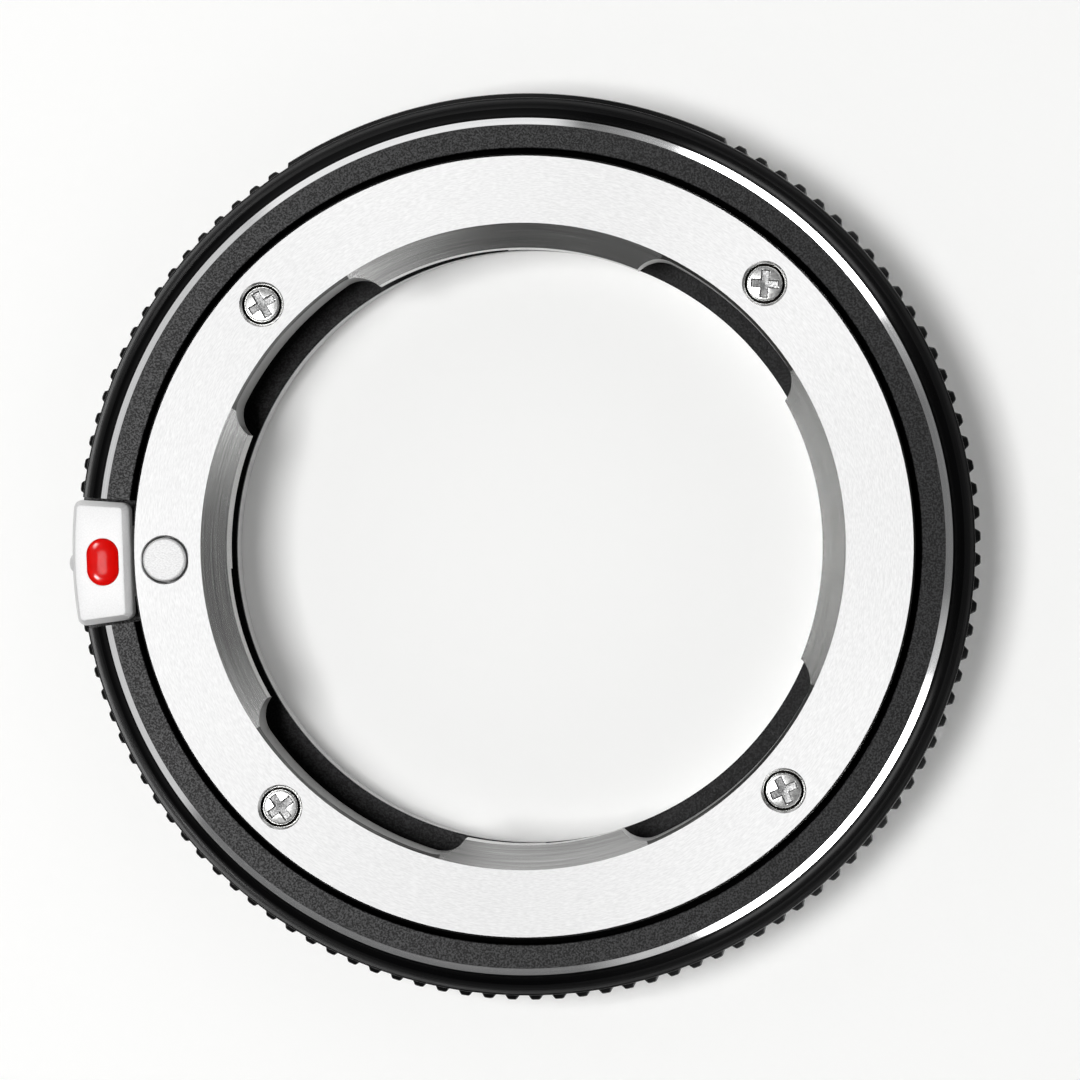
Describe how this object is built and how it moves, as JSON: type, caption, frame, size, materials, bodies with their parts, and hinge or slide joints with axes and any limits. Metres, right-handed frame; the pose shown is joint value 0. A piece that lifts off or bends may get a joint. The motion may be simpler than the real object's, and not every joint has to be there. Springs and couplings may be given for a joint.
{
  "type": "lens mount adapter",
  "caption": "Flat ring that carries a bayonet lens on a mirrorless camera, with a black knurled body, silver bayonet rings front and back, and a sprung release lever with lock pin.",
  "frame": {"origin": "on the optical axis, in the plane of the camera barrel's end that it rests on", "axes": "+Z along the optical axis towards the lens, -X towards the release lever"},
  "size_m": [0.063, 0.0629, 0.0136],
  "materials": {
    "black_anodised": "black anodised, bead-blasted rim, turned neck, bright-cut chamfer",
    "satin_chrome": "satin chromed brass",
    "screw_steel": "plated steel",
    "pin_steel": "ground steel",
    "lever_chrome": "satin chrome with bevelled edges",
    "red_bead": "glossy domed bead",
    "spring_steel": "drawn spring wire",
    "white_fill": "enamel fill"
  },
  "bodies": {
    "adapter": {"body_ring": "black_anodised", "lens_mount_ring": "satin_chrome", "lens_mount_screw_1": "screw_steel", "lens_mount_screw_2": "screw_steel", "lens_mount_screw_3": "screw_steel", "lens_mount_screw_4": "screw_steel", "camera_mount_ring": "satin_chrome", "camera_mount_screw_1": "screw_steel", "camera_mount_screw_2": "screw_steel", "camera_mount_screw_3": "screw_steel", "camera_mount_screw_4": "screw_steel", "camera_index_dot": "white_fill", "lever_spring_1": "spring_steel", "lever_spring_2": "spring_steel"},
    "release": {"release_lever": "lever_chrome", "lock_pin": "pin_steel", "lens_index_bead": "red_bead"}
  },
  "joints": [
    {"name": "release_press", "type": "slide", "parent": "adapter", "child": "release", "axis": [0, 0, -1], "range_m": [0, 0.0015], "stiffness_N_per_m": 300, "springref_m": -0.002, "deforming": ["lever_spring_1", "lever_spring_2"]}
  ]
}
